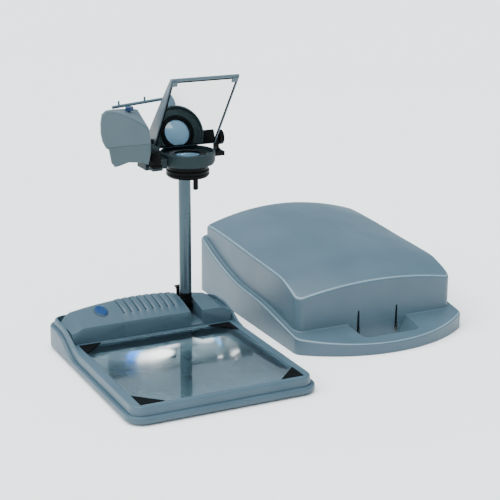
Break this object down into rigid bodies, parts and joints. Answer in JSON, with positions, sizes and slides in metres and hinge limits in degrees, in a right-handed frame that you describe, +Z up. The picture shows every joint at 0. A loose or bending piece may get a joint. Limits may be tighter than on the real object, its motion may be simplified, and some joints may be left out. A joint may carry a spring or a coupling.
{
  "type": "overhead projector",
  "caption": "Portable reflex overhead projector with a folding post, lamp and lens head, tilting mirror and flat glass stage, beside its lift-off domed carrying cover.",
  "frame": {"origin": "On the table, under the middle of the box around projector and cover.", "axes": "+X from the projector to the cover, +Y to the back of both, +Z up."},
  "size_m": [0.723, 0.598, 0.515],
  "materials": {
    "body_grey": "satin",
    "black_plastic": "satin",
    "button_blue": "gloss",
    "clear_glass": "clear",
    "mirror_coat": "polished",
    "steel": "satin",
    "copper": "varnished winding",
    "foot_rubber": "matte"
  },
  "bodies": {
    "base": {"base_tray": "body_grey", "top_case": "body_grey", "stage_glass": "clear_glass", "fresnel_mirror": "mirror_coat", "glass_clip_front_left": "black_plastic", "glass_clip_front_right": "black_plastic", "glass_clip_back_left": "black_plastic", "glass_clip_back_right": "black_plastic", "foot_front_left": "foot_rubber", "foot_front_right": "foot_rubber", "foot_back_left": "foot_rubber", "foot_back_right": "foot_rubber", "switch_housing": "body_grey", "vent_cover": "body_grey", "hinge_housing": "body_grey", "button_bezel": "black_plastic", "power_switch": "black_plastic", "mains_inlet": "black_plastic", "inlet_pin_line": "steel", "inlet_pin_earth": "steel", "inlet_pin_neutral": "steel", "transformer_core": "steel", "transformer_coil": "copper", "pivot_pin": "steel", "release_pin": "steel"},
    "head": {"pivot_link": "black_plastic", "post_tube": "body_grey", "head_arm": "body_grey", "lens_ring": "body_grey", "lamp_housing_upper": "body_grey", "lamp_housing_lower": "body_grey", "lamp_window": "clear_glass", "lamp_reflector": "mirror_coat", "lamp_socket": "black_plastic", "halogen_lamp": "clear_glass", "lamp_rail": "body_grey", "mirror_ear_left": "black_plastic", "mirror_ear_right": "black_plastic", "mirror_pin": "steel"},
    "catch": {"post_release": "black_plastic"},
    "button": {"power_button": "button_blue"},
    "barrel": {"lens_barrel": "black_plastic", "objective_lens": "clear_glass", "field_lens": "clear_glass"},
    "focus": {"focus_ring": "black_plastic"},
    "mirror": {"mirror_hood": "body_grey", "projection_mirror": "mirror_coat", "mirror_clip_left": "black_plastic", "mirror_clip_right": "black_plastic"},
    "clamp": {"mirror_clamp_knob": "black_plastic"},
    "adjuster": {"lamp_adjust_knob": "black_plastic"},
    "changer": {"lamp_changer_knob": "button_blue"},
    "cover": {"carrying_cover": "body_grey"}
  },
  "joints": [
    {"name": "post_fold", "type": "hinge", "parent": "base", "child": "head", "pos_m": [-0.113, 0.061, 0.058], "axis": [1, 0, 0], "range_deg": [0, 46]},
    {"name": "post_release", "type": "hinge", "parent": "base", "child": "catch", "pos_m": [-0.113, 0.086, 0.046], "axis": [1, 0, 0], "range_deg": [-14, 0], "stiffness_Nm_per_rad": 0.4, "springref_deg": 171.89},
    {"name": "power_press", "type": "slide", "parent": "base", "child": "button", "axis": [0, -0.1392, 0.9903], "range_m": [-0.003, 0], "stiffness_N_per_m": 300, "springref_m": 0.0005},
    {"name": "focus_turn", "type": "hinge", "parent": "head", "child": "focus", "pos_m": [-0.1935, -0.1385, 0.366], "axis": [0, 0, 1], "range_deg": [-60, 60]},
    {"name": "focus_slide", "type": "slide", "parent": "head", "child": "barrel", "axis": [0, 0, 1], "range_m": [-0.0025, 0.0025]},
    {"name": "mirror_tilt", "type": "hinge", "parent": "head", "child": "mirror", "pos_m": [-0.1955, -0.109, 0.3989], "axis": [1, 0, 0], "range_deg": [-12, 54]},
    {"name": "mirror_clamp", "type": "hinge", "parent": "head", "child": "clamp", "pos_m": [-0.1272, -0.109, 0.3989], "axis": [1, 0, 0], "range_deg": [-90, 90]},
    {"name": "lamp_adjust", "type": "hinge", "parent": "head", "child": "adjuster", "pos_m": [-0.262, -0.171, 0.3745], "axis": [0, 0, 1], "range_deg": [-120, 120]},
    {"name": "lamp_changer", "type": "hinge", "parent": "head", "child": "changer", "pos_m": [-0.28512, -0.12262, 0.463], "axis": [0, 0, 1], "range_deg": [0, 90]},
    {"name": "cover_lift", "type": "slide", "parent": "base", "child": "cover", "axis": [0, 0, 1], "range_m": [0, 0.25]}
  ],
  "couplings": [
    {"joint": "focus_slide", "follows": "focus_turn", "m_per_rad": 0.0023873}
  ]
}
